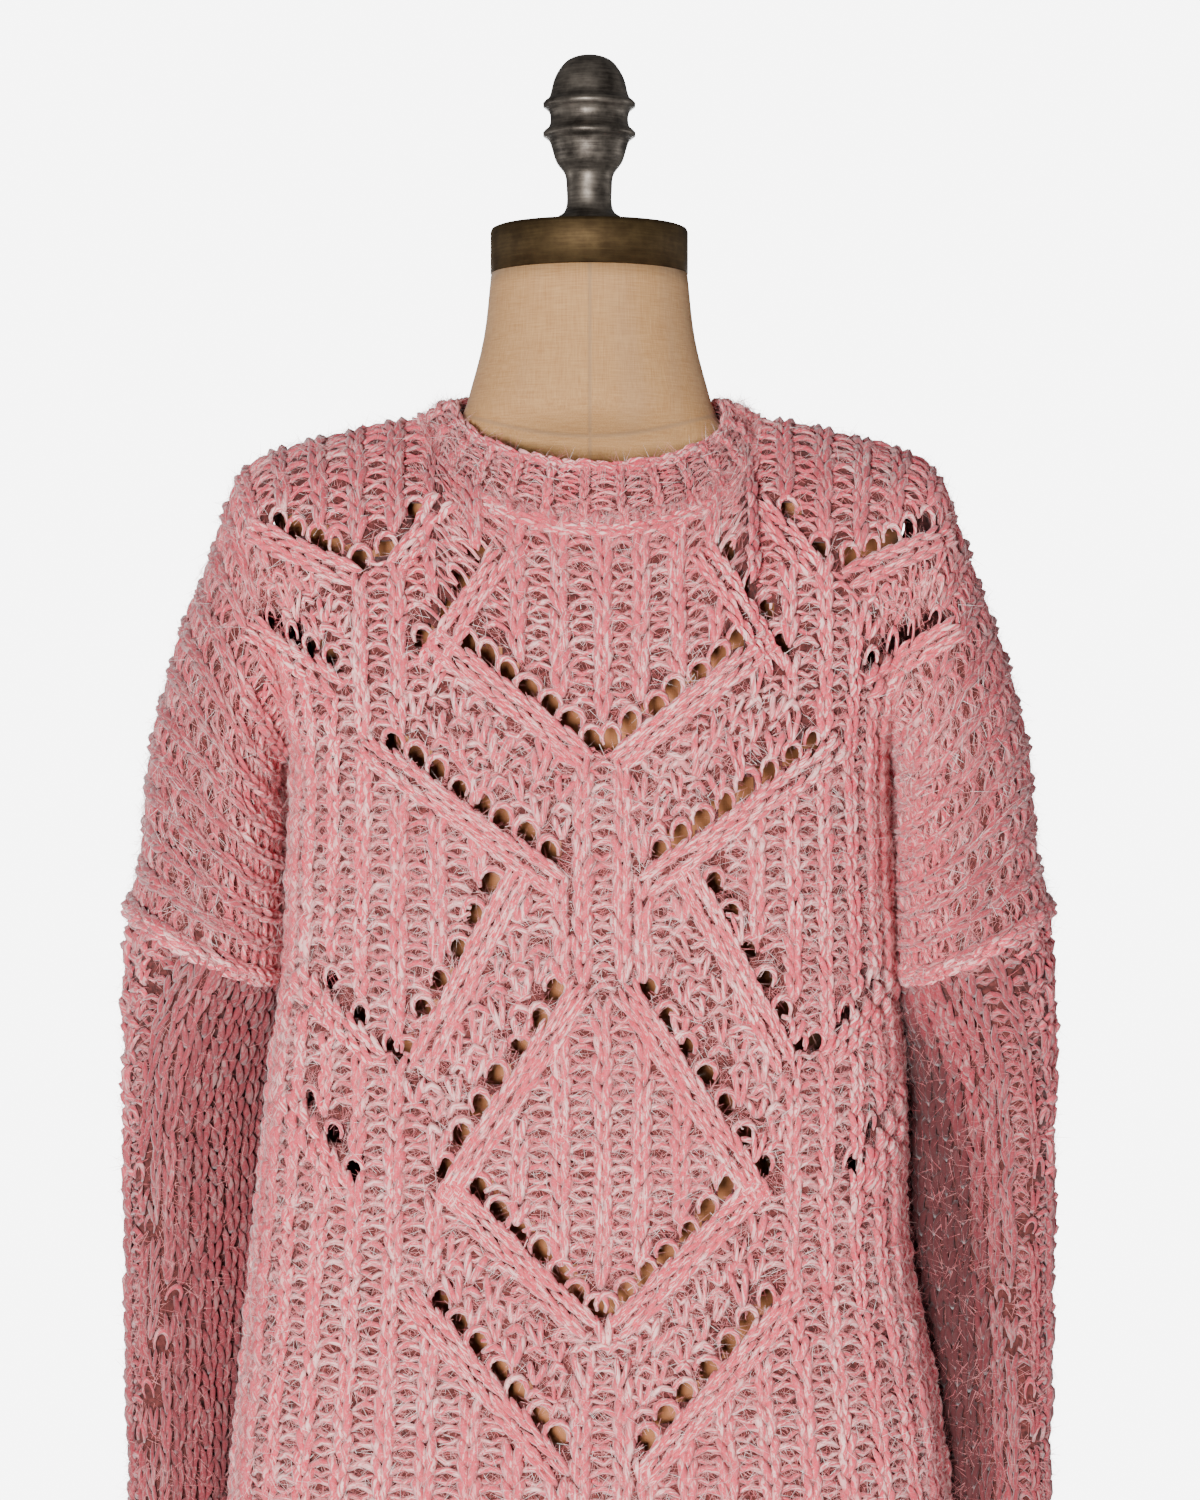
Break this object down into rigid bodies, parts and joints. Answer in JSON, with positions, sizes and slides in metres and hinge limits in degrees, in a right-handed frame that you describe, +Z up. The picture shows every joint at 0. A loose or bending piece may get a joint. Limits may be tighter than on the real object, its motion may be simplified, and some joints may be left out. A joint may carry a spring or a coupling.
{
  "type": "wool sweater on a limbless dress form",
  "caption": "Chunky ribbed wool sweater with an eyelet diamond pattern, dropped shoulders, crew neckband and long sleeves, standing on a linen-covered limbless dress form.",
  "frame": {"origin": "middle of the underside of the stand's base", "axes": "+Z is up, the sweater's front faces -Y, and +X is to the right as the picture shows it"},
  "size_m": [0.5156, 0.34, 1.691],
  "materials": {
    "wool": "brushed mohair and wool knit",
    "linen": "plain-woven natural linen",
    "bronze": "dark aged bronze",
    "iron": "dark patinated iron"
  },
  "bodies": {
    "root": {"front": "wool", "back": "wool", "sleeve_left_front": "wool", "sleeve_left_back": "wool", "sleeve_right_front": "wool", "sleeve_right_back": "wool", "cuff_left": "wool", "cuff_right": "wool", "hem_front": "wool", "hem_back": "wool", "neckband": "wool", "dress_form": "linen", "neck_cap": "bronze", "finial": "iron", "pole_collar": "iron", "pole": "iron", "base": "iron"}
  },
  "joints": []
}
